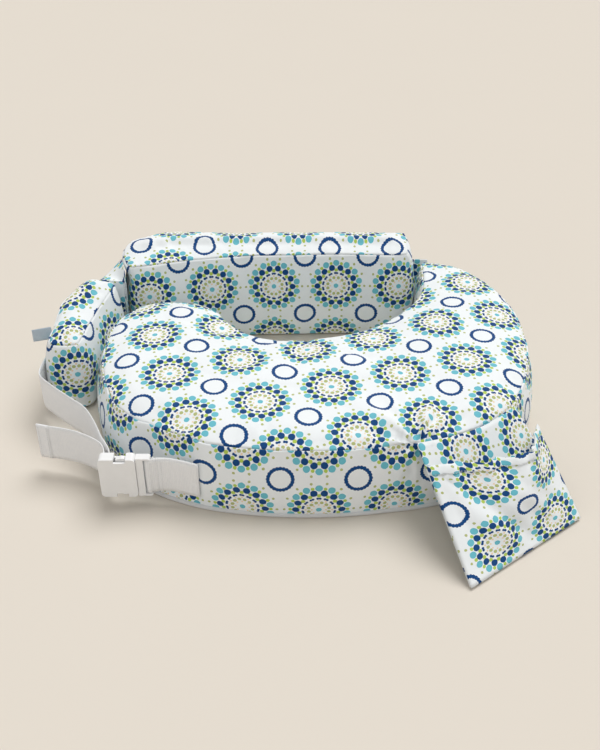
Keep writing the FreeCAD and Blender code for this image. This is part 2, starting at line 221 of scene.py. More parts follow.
def bottom_loop(node, first=None):
    """The outline of a CAD panel, in order, anticlockwise, as 2-D points."""
    bm = bmesh.new()
    bm.from_mesh(NODES[node].data)
    bmesh.ops.remove_doubles(bm, verts=bm.verts, dist=1e-6)
    low = min(v.co.z for v in bm.verts)
    uses = {}
    for face in bm.faces:
        if all(abs(v.co.z - low) < 1e-5 for v in face.verts):
            for edge in face.edges:
                uses[edge] = uses.get(edge, 0) + 1
    links = {}
    for edge, count in uses.items():
        if count == 1:
            a, b = edge.verts
            links.setdefault(a, []).append(b)
            links.setdefault(b, []).append(a)
    start = max(links, key=lambda v: (v.co.y, v.co.x))
    if first:
        start = min(links, key=lambda v: (v.co.xy - Vector(first)).length)
    loop, previous, current = [], None, start
    while True:
        loop.append(current.co.xy.copy())
        ahead = [v for v in links[current] if v is not previous]
        previous, current = current, ahead[0]
        if current is start or len(loop) > 5000:
            break
    bm.free()
    area = sum(a.x * b.y - b.x * a.y for a, b in zip(loop, loop[1:] + loop[:1]))
    return loop if area > 0 else [loop[0]] + loop[:0:-1]


def resample(loop, spacing, passes):
    """Even points round a closed loop, eased so that its corners are soft."""
    lengths = [(b - a).length for a, b in zip(loop, loop[1:] + loop[:1])]
    total = sum(lengths)
    count = max(24, round(total / spacing))
    out, index, walked = [], 0, 0.0
    for k in range(count):
        goal = total * k / count
        while walked + lengths[index] < goal:
            walked += lengths[index]
            index += 1
        a, b = loop[index], loop[(index + 1) % len(loop)]
        out.append(a.lerp(b, (goal - walked) / lengths[index]))
    for _ in range(passes):
        out = [
            out[i - 1] * 0.25 + out[i] * 0.5 + out[(i + 1) % count] * 0.25 for i in range(count)
        ]
    return out


def outward(loop):
    count = len(loop)
    result = []
    for i in range(count):
        along = (loop[(i + 1) % count] - loop[i - 1]).normalized()
        result.append(Vector((along.y, -along.x)))
    return result


def cap_faces(loop, spacing):
    """Triangles that fill a closed loop: (extra inner points, faces by number)."""
    tree = kdtree.KDTree(len(loop))
    for i, p in enumerate(loop):
        tree.insert((p.x, p.y, 0), i)
    tree.balance()
    low_x, high_x = min(p.x for p in loop), max(p.x for p in loop)
    low_y, high_y = min(p.y for p in loop), max(p.y for p in loop)
    inner, row, y = [], 0, low_y
    while y < high_y:
        x = low_x + (spacing / 2 if row % 2 else 0)
        while x < high_x:
            if tree.find((x, y, 0))[2] > 0.62 * spacing and inside(loop, x, y):
                inner.append(Vector((x, y)))
            x += spacing
        row += 1
        y += spacing * 0.866
    count = len(loop)
    edges = [(i, (i + 1) % count) for i in range(count)]
    result = geometry.delaunay_2d_cdt(loop + inner, edges, [], 1, 1e-7, True)
    origin = [
        ids[0] if ids else tree.find((p.x, p.y, 0))[1] for p, ids in zip(result[0], result[3])
    ]
    faces = []
    for face in result[2]:
        middle = sum((result[0][i] for i in face), Vector((0, 0))) / len(face)
        corners = [origin[i] for i in face]
        if len(set(corners)) == 3 and inside(loop, middle.x, middle.y):
            faces.append(corners)
    return inner, faces, tree


def inside(loop, x, y):
    hit = False
    for a, b in zip(loop, loop[1:] + loop[:1]):
        if (a.y > y) != (b.y > y) and x < a.x + (y - a.y) * (b.x - a.x) / (b.y - a.y):
            hit = not hit
    return hit


def turned(x, y, angle, centre):
    dx, dy = x - centre[0], y - centre[1]
    return (
        dx * math.cos(angle) + dy * math.sin(angle),
        -dx * math.sin(angle) + dy * math.cos(angle),
    )


# ------------------------------------------------------------------ materials


class Nodes:
    """Short way to wire shader nodes."""

    def __init__(self, name):
        self.material = bpy.data.materials.new(name)
        self.material.use_nodes = True
        self.tree = self.material.node_tree
        self.shader = self.tree.nodes["Principled BSDF"]

    def add(self, kind, **values):
        node = self.tree.nodes.new(kind)
        for key, value in values.items():
            setattr(node, key, value)
        return node

    def link(self, source, target):
        self.tree.links.new(source, target)

    def feed(self, socket, value):
        if isinstance(value, bpy.types.NodeSocket):
            self.link(value, socket)
        else:
            socket.default_value = value

    def math(self, operation, a, b=0.0, c=0.0, clamp=False):
        node = self.add("ShaderNodeMath", operation=operation, use_clamp=clamp)
        for socket, value in zip(node.inputs, (a, b, c)):
            self.feed(socket, value)
        return node.outputs[0]

    def vector(self, operation, a, b=(0, 0, 0)):
        node = self.add("ShaderNodeVectorMath", operation=operation)
        self.feed(node.inputs[0], a)
        self.feed(node.inputs[1], b)
        return node.outputs["Value" if operation == "LENGTH" else "Vector"]

    def mix(self, factor, under, over):
        node = self.add("ShaderNodeMix", data_type="RGBA")
        self.feed(node.inputs["Factor"], factor)
        for name, value in (("A", under), ("B", over)):
            socket = [s for s in node.inputs if s.name == name and s.type == "RGBA"][0]
            self.feed(socket, value if isinstance(value, bpy.types.NodeSocket) else (*value, 1))
        return [s for s in node.outputs if s.type == "RGBA"][0]

    def noise(self, vector, scale, detail=2.0):
        node = self.add("ShaderNodeTexNoise")
        node.inputs["Scale"].default_value = scale
        node.inputs["Detail"].default_value = detail
        self.feed(node.inputs["Vector"], vector)
        return node.outputs["Fac"]

    def bump(self, height, strength, distance):
        node = self.add("ShaderNodeBump")
        node.inputs["Strength"].default_value = strength
        node.inputs["Distance"].default_value = distance
        self.feed(node.inputs["Height"], height)
        self.link(node.outputs["Normal"], self.shader.inputs["Normal"])

    def constant(self, name, value):
        self.shader.inputs[name].default_value = value

    def drive(self, name, source):
        self.link(source, self.shader.inputs[name])

    def place(self, kind="UV"):
        if kind == "UV":
            node = self.add("ShaderNodeUVMap", uv_map="Cloth")
            return node.outputs["UV"]
        return self.add("ShaderNodeTexCoord").outputs["Object"]


def finish_named(name):
    """Makes a finish when it is first asked for, and hands out the same one after that.

    The name is not one of the frame's own finishes, which would be handed out instead.
    """

    def wrap(build):
        def get():
            return bpy.data.materials.get(name) or build(Nodes(name))

        return get

    return wrap


def weave(n, place, thread, weft_axis="Y"):
    """Height of a plain weave with the thread spacing given, from cloth coordinates."""
    scaled = n.vector("SCALE", place)
    scaled.node.inputs["Scale"].default_value = math.pi / thread
    split = n.add("ShaderNodeSeparateXYZ")
    n.link(scaled, split.inputs[0])
    warp = n.math("SINE", split.outputs["X"])
    weft = n.math("SINE", split.outputs[weft_axis])
    return n.math("MULTIPLY", warp, weft)


def dot_ring(n, angle, rho, rho_squared, radius, count, phase, dot):
    """Mask of a ring of dots round a centre, in millimetres; phase is in shares of a step."""
    turns = n.math("MULTIPLY_ADD", angle, count / math.tau, 0.5 - phase)
    step = n.math("SUBTRACT", n.math("FRACT", turns), 0.5)
    across = n.math("COSINE", n.math("MULTIPLY", step, math.tau / count))
    pull = n.math("MULTIPLY", n.math("MULTIPLY", rho, 2 * radius), across)
    gap = n.math("SUBTRACT", n.math("ADD", rho_squared, radius * radius), pull)
    return n.math("LESS_THAN", gap, dot * dot)


def cell(n, place, repeat, shift):
    """Position inside the print's square cell, in millimetres from its centre."""
    scaled = n.vector("SCALE", place)
    scaled.node.inputs["Scale"].default_value = 1 / repeat
    moved = n.vector("ADD", scaled, (0.5 + shift, 0.5 + shift, 0))
    local = n.vector("SUBTRACT", n.vector("FRACTION", moved), (0.5, 0.5, 0))
    sized = n.vector("MULTIPLY", local, (repeat * 1000, repeat * 1000, 0))
    split = n.add("ShaderNodeSeparateXYZ")
    n.link(sized, split.inputs[0])
    angle = n.math("ARCTAN2", split.outputs["Y"], split.outputs["X"])
    rho = n.vector("LENGTH", sized)
    return angle, rho, n.math("MULTIPLY", rho, rho)


@finish_named("printed_cotton")
def print_cloth(n):
    ink = bpy.context.scene.pillow_print
    place = n.place()
    wobble = n.add("ShaderNodeTexNoise")
    wobble.inputs["Scale"].default_value = 220
    n.link(place, wobble.inputs["Vector"])
    shaken = n.vector("SCALE", n.vector("SUBTRACT", wobble.outputs["Color"], (0.5, 0.5, 0.5)))
    shaken.node.inputs["Scale"].default_value = 0.0012
    printed = n.vector("ADD", place, shaken)
    a, r, rr = cell(n, printed, ink.repeat, 0.0)
    colour = ink.ground[:]
    # radius of the ring, dots in it, phase, radius of a dot (mm), colour
    rings = [
        (40.6, 14, 0.0, 1.7, ink.olive), (12.2, 12, 0.5, 2.3, ink.olive),
        (15.4, 12, 0.0, 1.3, ink.peach), (8.4, 8, 0.0, 1.2, ink.peach),
        (33.4, 14, 0.0, 2.2, ink.lime), (33.6, 14, 0.5, 4.4, ink.aqua),
        (23.4, 14, 0.5, 2.5, ink.lime), (26.9, 14, 0.0, 4.3, ink.navy),
        (18.9, 14, 0.34, 1.7, ink.navy), (18.9, 14, 0.66, 1.7, ink.navy),
        (18.9, 14, 0.5, 1.25, ink.navy),
    ]
    for radius, count, phase, dot, paint in rings:
        colour = n.mix(dot_ring(n, a, r, rr, radius, count, phase, dot), colour, paint[:])
    colour = n.mix(n.math("LESS_THAN", r, 3.4), colour, ink.aqua[:])
    a2, r2, rr2 = cell(n, printed, ink.repeat, 0.5)
    line = n.math("LESS_THAN", n.math("ABSOLUTE", n.math("SUBTRACT", r2, 14.2)), 1.6)
    beads = dot_ring(n, a2, r2, rr2, 14.3, 24, 0.0, 2.4)
    colour = n.mix(n.math("MAXIMUM", line, beads), colour, ink.navy[:])
    cloud = n.noise(place, 9.0, 3.0)
    shade = n.math("MULTIPLY_ADD", cloud, 0.08, 0.95)
    tinted = n.vector("SCALE", colour)
    n.link(shade, tinted.node.inputs["Scale"])
    n.drive("Base Color", tinted)
    rough = n.math("MULTIPLY_ADD", n.noise(place, 60.0), 0.18, 0.58)
    n.drive("Roughness", rough)
    n.constant("Sheen Weight", 0.06)
    n.constant("Specular IOR Level", 0.22)
    creases = n.math("MULTIPLY", n.noise(place, 34.0, 5.0), 3.0)
    n.bump(n.math("ADD", weave(n, place, 0.0006), creases), 0.35, 0.0004)
    return n.material


def plain_cloth(name, colour, thread, roughness=0.75, sheen=0.15, place="UV"):
    known = bpy.data.materials.get(name)
    if known:
        return known
    n = Nodes(name)
    flat = place == "UV"
    place = n.place(place)
    height = weave(n, place, thread, "Y" if flat else "Z")
    soft = n.noise(place, 90.0, 4.0)
    low = tuple(c * 0.86 for c in colour)
    mixed = n.mix(n.math("MULTIPLY_ADD", height, 0.22, soft, clamp=True), low, colour)
    n.drive("Base Color", mixed)
    rough = n.math("MULTIPLY_ADD", soft, 0.12, roughness - 0.06)
    n.drive("Roughness", rough)
    n.constant("Sheen Weight", sheen)
    n.bump(height, 0.6, thread * 0.4)
    return n.material


@finish_named("white_webbing")
def webbing_cloth(n):
    """Ribbed webbing: ribs across the width, with woven edges."""
    place = n.place()
    split = n.add("ShaderNodeSeparateXYZ")
    n.link(place, split.inputs[0])
    ribs = n.math("SINE", n.math("MULTIPLY", split.outputs["X"], math.tau / 0.0021))
    lanes = n.math("SINE", n.math("MULTIPLY", split.outputs["Y"], math.tau / 0.0016))
    height = n.math("ADD", n.math("MULTIPLY", ribs, 0.6), n.math("MULTIPLY", lanes, 0.5))
    edge = n.math("GREATER_THAN", n.math("ABSOLUTE", split.outputs["Y"]), 0.0226)
    height = n.math("ADD", height, n.math("MULTIPLY", edge, 1.2))
    soft = n.noise(place, 130.0, 4.0)
    tone = n.math("MULTIPLY_ADD", height, 0.35, soft, clamp=True)
    mixed = n.mix(tone, (0.90, 0.91, 0.93), (0.99, 0.99, 0.99))
    n.drive("Base Color", mixed)
    n.drive("Roughness", n.math("MULTIPLY_ADD", soft, 0.2, 0.55))
    n.constant("Sheen Weight", 0.2)
    n.bump(height, 0.6, 0.0004)
    return n.material


@finish_named("white_plastic")
def moulded_plastic(n):
    place = n.place("Object")
    cloud = n.noise(place, 55.0, 3.0)
    mixed = n.mix(cloud, (0.86, 0.86, 0.86), (0.93, 0.93, 0.93))
    n.drive("Base Color", mixed)
    scuff = n.noise(place, 700.0, 6.0)
    n.drive("Roughness", n.math("MULTIPLY_ADD", scuff, 0.22, 0.24))
    n.constant("Specular IOR Level", 0.5)
    n.constant("Subsurface Weight", 0.08)
    n.constant("Subsurface Radius", (0.002, 0.002, 0.0018))
    n.bump(scuff, 0.12, 0.0002)
    return n.material


@finish_named("plated_zinc")
def plated_metal(n):
    place = n.place("Object")
    cloud = n.noise(place, 420.0, 5.0)
    n.drive("Base Color", n.mix(cloud, (0.30, 0.30, 0.29), (0.50, 0.50, 0.48)))
    n.drive("Roughness", n.math("MULTIPLY_ADD", cloud, 0.3, 0.2))
    n.constant("Metallic", 1.0)
    n.bump(cloud, 0.2, 0.0002)
    return n.material


# ------------------------------------------------------------------ padded forms


def inflate(obj, pins, cap):
    """Lets the cloth settle under a little inner pressure, with the pinned points held."""
    group = obj.vertex_groups.new(name="Seams")
    for index, weight in pins.items():
        group.add([index], weight, "REPLACE")
    before = [v.co.copy() for v in obj.data.vertices]
    cloth = obj.modifiers.new("Cloth", "CLOTH")
    cloth.settings.quality = 5
    cloth.settings.mass = 0.3
    cloth.settings.tension_stiffness = 12
    cloth.settings.compression_stiffness = 12
    cloth.settings.shear_stiffness = 6
    cloth.settings.bending_stiffness = 0.4
    cloth.settings.use_pressure = True
    cloth.settings.uniform_pressure_force = 4.0
    cloth.settings.shrink_min = -0.012
    cloth.settings.vertex_group_mass = "Seams"
    cloth.settings.effector_weights.gravity = 0
    cloth.collision_settings.use_collision = False
    cloth.point_cache.frame_start = 1
    cloth.point_cache.frame_end = SIM_FRAMES
    scene = bpy.context.scene
    for number in range(1, SIM_FRAMES + 1):
        scene.frame_set(number)
    apply_modifier(obj, cloth)
    for vertex, start in zip(obj.data.vertices, before):
        moved = vertex.co - start
        most = cap(start)
        if moved.length > most:
            vertex.co = start + moved.normalized() * most
    scene.frame_set(1)
    obj.vertex_groups.clear()


def padded_form(name, loop, levels, top_height, top_uv, side_uv, spacing):
    """A closed cushion: side rings from the levels, a crowned top and a flat underside.

    Each level gives, for a point of the loop, its height and its outward offset. The last
    level lies just inside the top seam and the one before it is the seam itself.
    """
    normals = outward(loop)
    count = len(loop)
    rows = len(levels)
    bm = bmesh.new()
    uv = bm.loops.layers.uv.new("Cloth")
    rings = []
    for level in levels:
        ring = []
        for p, normal in zip(loop, normals):
            height, offset = level(p)
            q = p + normal * offset
            ring.append(bm.verts.new((q.x, q.y, height)))
        rings.append(ring)
    lengths = [0.0]
    for a, b in zip(loop, loop[1:] + loop[:1]):
        lengths.append(lengths[-1] + (b - a).length)
    for k in range(rows - 1):
        on_top = k == rows - 2
        for i in range(count):
            j = (i + 1) % count
            face = bm.faces.new((rings[k][i], rings[k][j], rings[k + 1][j], rings[k + 1][i]))
            face.material_index = 1 if on_top else 0
            marks = (lengths[i], lengths[i + 1], lengths[i + 1], lengths[i])
            for corner, s in zip(face.loops, marks):
                co = corner.vert.co
                corner[uv].uv = top_uv(co.x, co.y) if on_top else side_uv(s, co)
    top_loop = [v.co.xy.copy() for v in rings[-1]]
    inner, faces, tree = cap_faces(top_loop, spacing)
    extra = []
    for p in inner:
        number, gap = tree.find((p.x, p.y, 0))[1:]
        extra.append(bm.verts.new((p.x, p.y, top_height(p, gap, rings[-1][number].co.z))))
    table = rings[-1] + extra
    for numbers in faces:
        face = fill(bm, [table[i] for i in numbers])
        face.material_index = 1
        for corner in face.loops:
            corner[uv].uv = top_uv(corner.vert.co.x, corner.vert.co.y)
    low_loop = [v.co.xy.copy() for v in rings[0]]
    inner, faces, tree = cap_faces(low_loop, spacing * 1.6)
    floor = min(v.co.z for v in rings[0])
    table = rings[0] + [bm.verts.new((p.x, p.y, floor)) for p in inner]
    for numbers in faces:
        face = fill(bm, [table[i] for i in numbers])
        face.material_index = 2
        for corner in face.loops:
            corner[uv].uv = (corner.vert.co.x, corner.vert.co.y)
    bmesh.ops.recalc_face_normals(bm, faces=bm.faces)
    bm.verts.index_update()
    pins = {v.index: 1.0 for ring in rings[:2] + rings[-2:] for v in ring}
    for face in bm.faces:
        if face.material_index == 2:
            pins.update({v.index: 1.0 for v in face.verts})
    seam = [(rings[-2][i].co.copy(), lengths[i]) for i in range(count)]
    line = {v.index for v in rings[-2]}
    mesh = bpy.data.meshes.new(name)
    bm.to_mesh(mesh)
    bm.free()
    share = mesh.attributes.new("seam", "FLOAT", "POINT")
    for index in line:
        share.data[index].value = 1.0
    return mesh, pins, seam


def fill(bm, corners):
    return bm.faces.get(corners) or bm.faces.new(corners)


def pinch(obj, depth):
    """Draws the cloth in along its top seam."""
    shares = [item.value for item in obj.data.attributes["seam"].data]
    normals = [n.vector.copy() for n in obj.data.vertex_normals]
    for vertex, normal, share in zip(obj.data.vertices, normals, shares):
        vertex.co -= normal * depth * share ** 2


def split_off(obj, index, name):
    """Moves the faces of one material slot to an object of their own."""
    bm = bmesh.new()
    bm.from_mesh(obj.data)
    other = bm.copy()
    away = [f for f in bm.faces if f.material_index == index]
    bmesh.ops.delete(bm, geom=away, context="FACES")
    away = [f for f in other.faces if f.material_index != index]
    bmesh.ops.delete(other, geom=away, context="FACES")
    bm.to_mesh(obj.data)
    mesh = bpy.data.meshes.new(name)
    other.to_mesh(mesh)
    bm.free()
    other.free()
    part = make_object(name, mesh, list(obj.data.materials))
    shade_smooth(mesh)
    return part


def ruffle(obj, seam_points, depth, reach, step):
    """Small puckers that run into a seam and die out away from it."""
    tree = kdtree.KDTree(len(seam_points))
    for i, (point, _) in enumerate(seam_points):
        tree.insert(point, i)
    tree.balance()
    normals = [n.vector.copy() for n in obj.data.vertex_normals]
    for vertex, normal in zip(obj.data.vertices, normals):
        point, number, gap = tree.find(vertex.co)
        if gap > reach * 3:
            continue
        s = seam_points[number][1]
        wave = noise.noise(Vector((s / step, 0.3, 0.0))) + 0.5 * noise.noise(
            Vector((s / step * 2.3, 4.1, 0.0))
        )
        fall = math.exp(-gap / reach) * min(1.0, gap / 0.003)
        vertex.co += normal * wave * depth * fall


def undulate(obj, depth, size, seed, floor):
    """Soft, wide unevenness of a stuffed cover; the underside stays flat."""
    normals = [n.vector.copy() for n in obj.data.vertex_normals]
    for vertex, normal in zip(obj.data.vertices, normals):
        if vertex.co.z < floor + 0.004:
            continue
        value = noise.noise(vertex.co / size + Vector((seed, seed * 2, 0)))
        vertex.co += normal * value * depth


def arc_length_at(loop, x, y):
    """Length along the loop of its point nearest to (x, y)."""
    s, best = 0.0, (1e9, 0.0)
    for a, b in zip(loop, loop[1:] + loop[:1]):
        best = min(best, ((a - Vector((x, y))).length, s))
        s += (b - a).length
    return best[1]


def draw_in(p):
    """How far the two ends of the horseshoe are pulled in by their cover."""
    return 0.005 * smooth(0.19, 0.30, p.x) + 0.002 * smooth(0.19, 0.25, -p.x)


def strap_zone(p):
    """1 where the front strap lies against the side band."""
    along = smooth(-0.200, -0.186, p.x) * (1 - smooth(-0.121, -0.115, p.x))
    return along * smooth(0.08, 0.10, -p.y)


class PILLOW_OT_platform(bpy.types.Operator):
    """Cover of the horseshoe platform and its white underside"""

    bl_idname = "pillow.platform"
    bl_label = "Platform"

    def execute(self, context):
        ink = context.scene.pillow_print
        s = shape()
        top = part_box("top_panel")[1][2]
        loop = resample(bottom_loop("base_panel"), s.spacing, 5)

        def waist(p):
            along = smooth(-0.178, -0.150, p.x) * (1 - smooth(0.168, 0.178, p.x))
            return along * smooth(0.05, 0.075, p.y)

        def seam_height(p):
            return top - 0.0015 + 0.002 * waist(p)

        def level(h):
            def at(p):
                height = BASE_RISE + (seam_height(p) - BASE_RISE) * min(h, 1.0)
                w = waist(p)
                lean = -0.0005 - s.seam_inset * (1 - 0.35 * w) * min(h, 1.0) ** 2.6
                lean -= draw_in(p) * (1 - w)
                swell = s.bulge * math.sin(math.pi * min(h * 1.02, 1.0)) * (1 - 0.4 * w)
                flat = strap_zone(p)
                swell = swell * (1 - flat) - 0.0038 * flat * smooth(0.05, 0.15, h)
                if h > 1.0:
                    return height + SEAM_LIP, lean + swell - LIP_INSET
                return height, lean + swell

            return at

        shares = [
            0, 0.045, 0.13, 0.22, 0.32, 0.42, 0.52, 0.62, 0.71, 0.79, 0.86, 0.92, 0.96, 0.985,
            1, 1.01,
        ]
        origin = arc_length_at(loop, -0.026, -0.155)

        def side_uv(length, co):
            return (length - origin + ink.repeat / 2, co.z - 0.0125)

        def top_uv(x, y):
            return turned(x, y, ink.turn, (-0.075, 0.017))

        def height(p, gap, seam):
            rise = s.crown * (1 - math.exp(-gap / 0.022))
            return seam + rise + 0.002 * waist(p) * (1 - math.exp(-gap / 0.03))

        def cap(co):
            return (0.002 + 0.004 * smooth(0.085, 0.093, co.z)) * (1 - strap_zone(co))

        mesh, pins, seam = padded_form(
            "platform_cover", loop, [level(h) for h in shares], height, top_uv, side_uv, s.spacing
        )
        cloth = print_cloth()
        white = plain_cloth("white_cotton", COTTON_WHITE, 0.0006)
        cover = make_object("platform_cover", mesh, [cloth, cloth, white])
        inflate(cover, pins, cap)
        subdivide(cover)
        ruffle(cover, seam, 0.0014, 0.012, 0.011)
        undulate(cover, 0.0020, 0.075, 3.0, BASE_RISE)
        gather_at_pocket(cover)
        drape_lines(cover)
        pinch(cover, SEAM_GROOVE)
        base = split_off(cover, 2, "base_cloth")
        for vertex in base.data.vertices:
            vertex.co.z = max(vertex.co.z - BASE_RISE, 0.0)
        lip = base_lip(loop, white)
        for obj, nodes, slot in (
            (
                cover, ("platform_foam", "top_panel", "outer_side_band", "waist_side_band"),
                "print_cloth",
            ),
            (base, ("base_panel",), "white_cloth"),
            (lip, (), "white_cloth"),
        ):
            dress(obj, "platform", nodes, slot)
        return {"FINISHED"}


def dress(obj, body, nodes, slot):
    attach(obj, body)
    if nodes:
        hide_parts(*nodes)


def straight_cushion(
    name, node, low, seam_at, side_uv, top_uv, swell_at, inset, crown, seed, holds, flare,
    first=None,
):
    """A tall pad with a sewn top panel, for the backrest and the wing.

    seam_at, swell_at and flare give the seam's height and the outward swell by place, and holds
    gives how far the settling may move a point.
    """
    s = shape()
    loop = resample(bottom_loop(node, first), s.spacing * 0.9, 6)
    heights = [
        0, 0.02, 0.07, 0.125, 0.16, 0.20, 0.25, 0.30, 0.345, 0.42, 0.50, 0.58, 0.66, 0.74, 0.82,
        0.89, 0.95, 0.98, 1, 1.01,
    ]

    def level(h):
        def at(p):
            t = min(h, 1.0)
            lean = 0.001 - (0.001 + inset) * t ** 3.2
            high = seam_at(p)
            swell = swell_at(p) * math.sin(math.pi * min(t * 1.02, 1.0)) ** 0.7
            swell += flare(p, t)
            if h > 1.0:
                return high + SEAM_LIP, lean + swell - LIP_INSET
            return low + (high - low) * t, lean + swell

        return at

    def height(p, gap, seam):
        return seam + crown * (1 - math.exp(-gap / 0.016))

    mesh, pins, seam = padded_form(
        name, loop, [level(h) for h in heights], height, top_uv,
        lambda length, co: side_uv(length, co, loop), s.spacing * 0.9
    )
    cloth = print_cloth()
    white = plain_cloth("white_cotton", COTTON_WHITE, 0.0006)
    cover = make_object(name, mesh, [cloth, cloth, white])
    inflate(cover, pins, holds)
    subdivide(cover)
    ruffle(cover, seam, 0.0011, 0.010, 0.010)
    undulate(cover, 0.0014, 0.06, seed, low)
    pinch(cover, SEAM_GROOVE)
    return cover


class PILLOW_OT_backrest(bpy.types.Operator):
    """Cover of the tall backrest bolster"""

    bl_idname = "pillow.backrest"
    bl_label = "Backrest"

    def execute(self, context):
        ink = context.scene.pillow_print
        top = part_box("back_top_panel")[1][2]
        marks = {}

        def side_uv(length, co, loop):
            if "start" not in marks:
                marks["start"] = arc_length_at(loop, -0.038, 0.234)
            return (length - marks["start"], co.z - 0.0865)

        def top_uv(x, y):
            return (x + 0.047 + ink.repeat / 2, y - 0.255 + ink.repeat / 2)

        def rear(p):
            return smooth(0.285, 0.296, p.y)

        def left_end(p):
            return smooth(0.225, 0.245, -p.x)

        def seam_at(p):
            return top - 0.0035 + 0.0092 * smooth(0.225, 0.300, p.y)

        def swell_at(p):
            return 0.003 * (1 - rear(p)) + 0.002 * left_end(p) * smooth(0.235, 0.255, p.y)

        cover = straight_cushion(
            "backrest_cover", "back_bottom_panel", 0.0015, seam_at, side_uv, top_uv, swell_at,
            inset=0.0065, crown=0.0036, seed=5.0,
            holds=lambda co: 0.004 * (1 - rear(co)),
            flare=lambda p, t: 0.009 * left_end(p) * smooth(0.80, 0.95, t),
            first=(-0.246, 0.226),
        )
        for vertex in cover.data.vertices:
            co = vertex.co
            if co.y > 0.290 and -0.1375 < co.x < 0.1335 and 0.0165 < co.z < 0.0435:
                co.y = min(co.y, ZIP_FACE)
        nodes = (
            "back_foam", "back_bottom_panel", "back_top_panel", "back_inner_panel",
            "back_rear_panel",
        )
        dress(cover, "backrest", nodes, "print_cloth")
        return {"FINISHED"}


class PILLOW_OT_wing(bpy.types.Operator):
    """Cover of the small side wing"""

    bl_idname = "pillow.wing"
    bl_label = "Wing"

    def execute(self, context):
        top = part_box("wing_top_panel")[1][2]
        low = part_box("wing_bottom_panel")[0][2]
        marks = {}

        def side_uv(length, co, loop):
            if "start" not in marks:
                marks["start"] = arc_length_at(loop, -0.306, 0.052)
            return (length - marks["start"] - 0.012, co.z - 0.060)

        def top_uv(x, y):
            return turned(x, y, math.radians(14), (-0.292, 0.070))

        def near_crease(p):
            return smooth(0.175, 0.188, p.y)

        def seam_at(p):
            front_drop = 0.006 * (1 - smooth(0.05, 0.11, p.y))
            return top - 0.0065 - front_drop + 0.015 * smooth(0.10, 0.20, p.y)

        def flare(p, t):
            outer = smooth(0.275, 0.300, -p.x) * smooth(0.09, 0.15, p.y)
            return 0.008 * outer * smooth(0.1, 0.5, t)

        cover = straight_cushion(
            "wing_cover", "wing_bottom_panel", low, seam_at, side_uv, top_uv,
            lambda p: 0.0030 - 0.0045 * near_crease(p),
            inset=0.0075, crown=0.010, seed=9.0,
            holds=lambda co: 0.003 * (1 - near_crease(co)), flare=flare,
        )
        nodes = (
            "wing_foam", "wing_bottom_panel", "wing_top_panel", "wing_inner_panel",
            "wing_outer_panel",
        )
        dress(cover, "wing", nodes, "print_cloth")
        return {"FINISHED"}


def spline(points, step):
    """Even points on a smooth curve through the points given."""
    pts = [Vector(p) for p in points]
    pts = [pts[0] * 2 - pts[1]] + pts + [pts[-1] * 2 - pts[-2]]
    dense = []
    for a, b, c, d in zip(pts, pts[1:], pts[2:], pts[3:]):
        parts = max(2, round((c - b).length / 0.0008))
        for k in range(parts):
            t = k / parts
            dense.append(
                0.5 * (2 * b + (c - a) * t + (2 * a - 5 * b + 4 * c - d) * t * t
                       + (3 * b - a - 3 * c + d) * t ** 3)
            )
    dense.append(pts[-2])
    total = sum((b - a).length for a, b in zip(dense, dense[1:]))
    count = max(2, round(total / step))
    out, walked, index = [dense[0]], 0.0, 0
    for k in range(1, count):
        goal = total * k / count
        while index < len(dense) - 2 and walked + (dense[index + 1] - dense[index]).length < goal:
            walked += (dense[index + 1] - dense[index]).length
            index += 1
        piece = (dense[index + 1] - dense[index]).length
        out.append(dense[index].lerp(dense[index + 1], (goal - walked) / piece))
    return out + [dense[-1]]


def webbing(name, path, low, high, thick, materials, step=0.003):
    """A flat strap on edge that follows a plan path, with soft long edges."""
    centre = spline(path, step)
    columns = 8
    bm = bmesh.new()
    uv = bm.loops.layers.uv.new("Cloth")
    rings, lengths, s = [], [], 0.0
    for i, p in enumerate(centre):
        ahead = centre[min(i + 1, len(centre) - 1)]
        behind = centre[max(i - 1, 0)]
        along = (ahead - behind).normalized()
        side = Vector((-along.y, along.x))
        if i:
            s += (p - centre[i - 1]).length
        lengths.append(s)
        ring = []
        for face in (1, -1):
            order = range(columns + 1) if face == 1 else range(columns, -1, -1)
            for k in order:
                t = k / columns
                edge = 0.55 if k in (0, columns) else 1.0
                q = p + side * (face * thick / 2 * edge)
                ring.append(bm.verts.new((q.x, q.y, low + (high - low) * t)))
        rings.append(ring)
    size = len(rings[0])
    middle = (low + high) / 2
    for i in range(len(rings) - 1):
        for k in range(size):
            m = (k + 1) % size
            face = bm.faces.new((rings[i][k], rings[i][m], rings[i + 1][m], rings[i + 1][k]))
            marks = (lengths[i], lengths[i], lengths[i + 1], lengths[i + 1])
            for corner, mark in zip(face.loops, marks):
                corner[uv].uv = (mark, corner.vert.co.z - middle)
    for ring, mark in ((rings[0], lengths[0]), (rings[-1], lengths[-1])):
        for k in range(columns):
            face = bm.faces.new((ring[k], ring[k + 1], ring[size - 2 - k], ring[size - 1 - k]))
            for corner in face.loops:
                corner[uv].uv = (mark, corner.vert.co.z - middle)
    return mesh_object(name, bm, materials)


